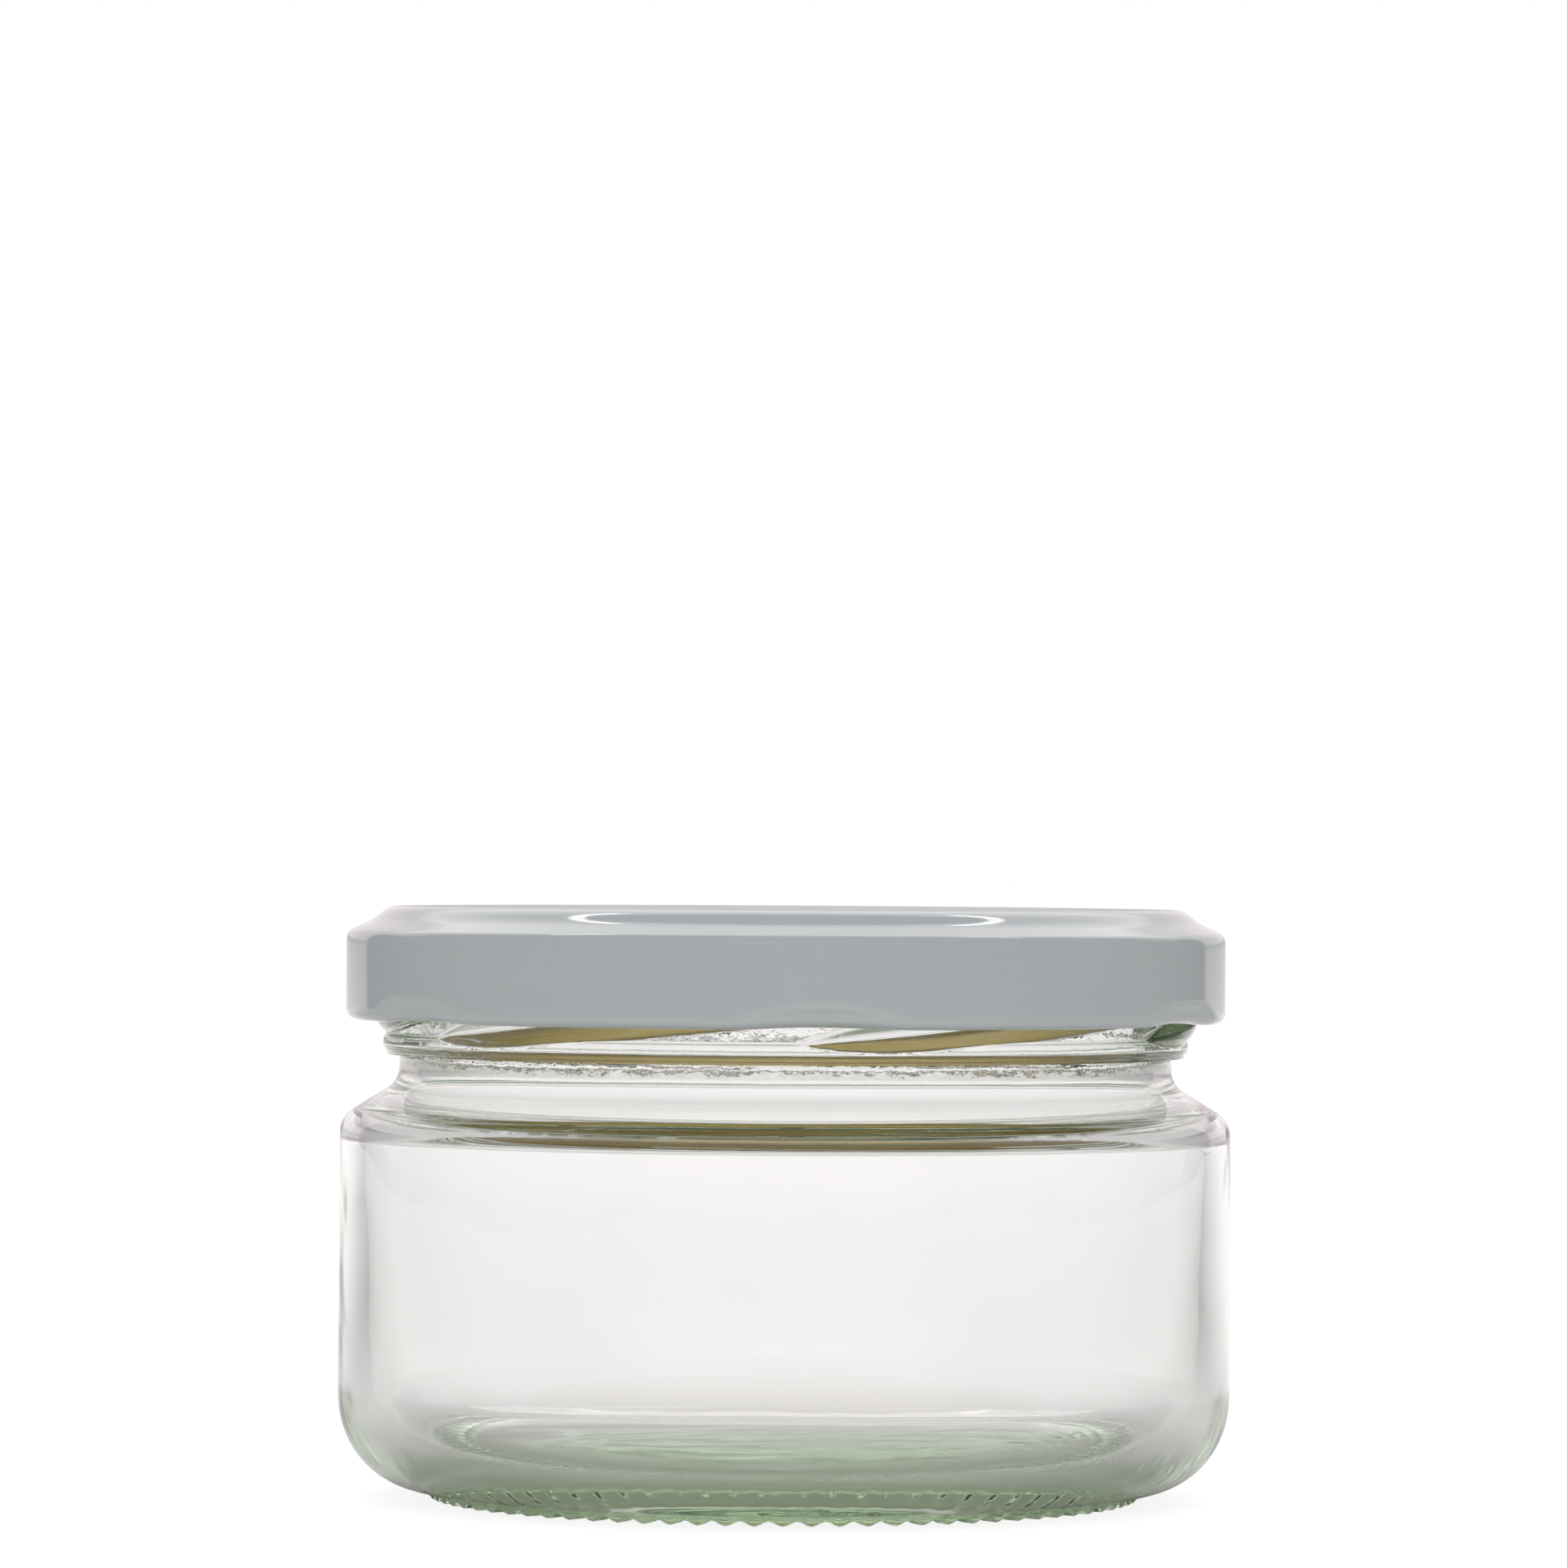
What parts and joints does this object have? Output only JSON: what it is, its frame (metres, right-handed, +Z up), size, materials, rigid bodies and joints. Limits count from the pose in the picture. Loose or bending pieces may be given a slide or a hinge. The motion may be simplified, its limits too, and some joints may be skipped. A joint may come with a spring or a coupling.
{
  "type": "twist-off jar",
  "caption": "Low, wide clear glass jar with a knurled foot, a threaded neck and a pressed metal twist-off lid with lugs and a sealing ring, for storing food.",
  "frame": {"origin": "middle of the foot ring, on the surface that the jar stands on", "axes": "+Z up along the jar's axis, -Y towards the picture's camera, +X to its right"},
  "size_m": [0.087, 0.087, 0.0575],
  "materials": {
    "clear_glass": "clear moulded soda-lime glass with a faint green tint in the thick base",
    "plastisol": "flowed-in cream plastisol, satin",
    "lid_lacquer": "pale grey gloss lacquer outside on tinplate, gold lacquer inside"
  },
  "bodies": {
    "jar": {"glass_jar": "clear_glass"},
    "seal": {"sealing_ring": "plastisol"},
    "lid": {"lid_shell": "lid_lacquer"}
  },
  "joints": [
    {"name": "lid_rise", "type": "slide", "parent": "jar", "child": "seal", "axis": [0, 0, 1], "range_m": [0, 0.0127]},
    {"name": "lid_turn", "type": "hinge", "parent": "seal", "child": "lid", "pos_m": [0, 0, 0.05], "axis": [0, 0, 1], "range_deg": [0, 180]}
  ],
  "couplings": [
    {"joint": "lid_rise", "follows": "lid_turn", "m_per_rad": 0.0040107}
  ]
}
